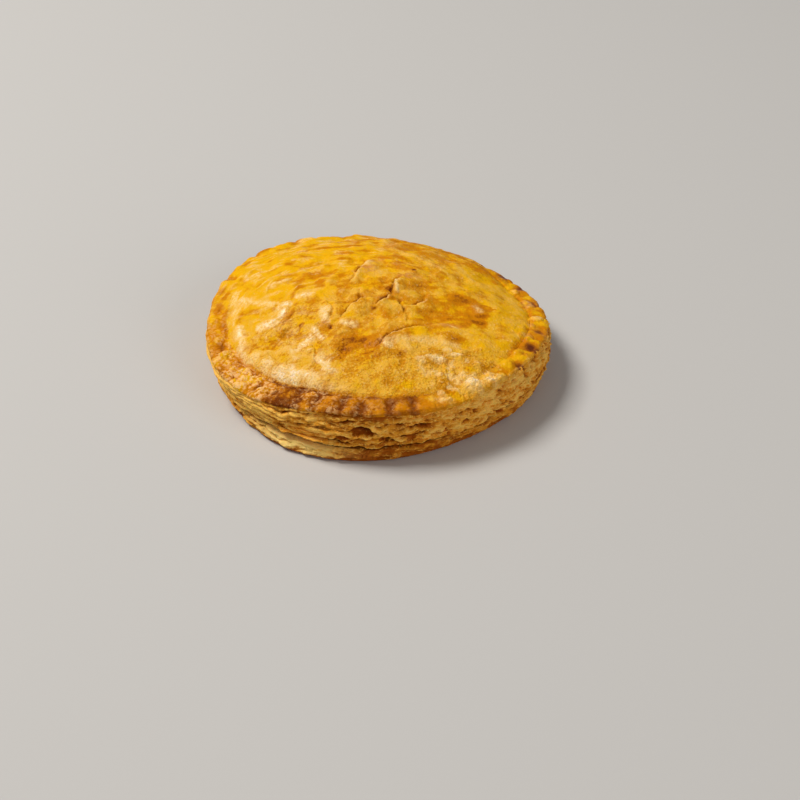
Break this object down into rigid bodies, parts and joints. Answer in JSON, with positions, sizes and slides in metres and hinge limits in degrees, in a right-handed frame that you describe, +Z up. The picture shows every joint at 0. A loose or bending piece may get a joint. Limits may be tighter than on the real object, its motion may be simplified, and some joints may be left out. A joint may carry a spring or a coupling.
{
  "type": "puff pastry pie",
  "caption": "Round individual puff pastry pie, whole and uncut, with a glazed domed lid, a crimped rim and a flaky layered side, standing on a flat base.",
  "frame": {"origin": "middle of the flat base, at the bottom of the bounding box", "axes": "+Z up from the base to the lid's crown; -Y towards the side with the large torn bubble; +X to the right of it"},
  "size_m": [0.1436, 0.1368, 0.0367],
  "materials": {
    "baked_crust": "egg-washed golden brown pastry, satin lid, dull flaky side"
  },
  "bodies": {
    "root": {"pie": "baked_crust"}
  },
  "joints": []
}
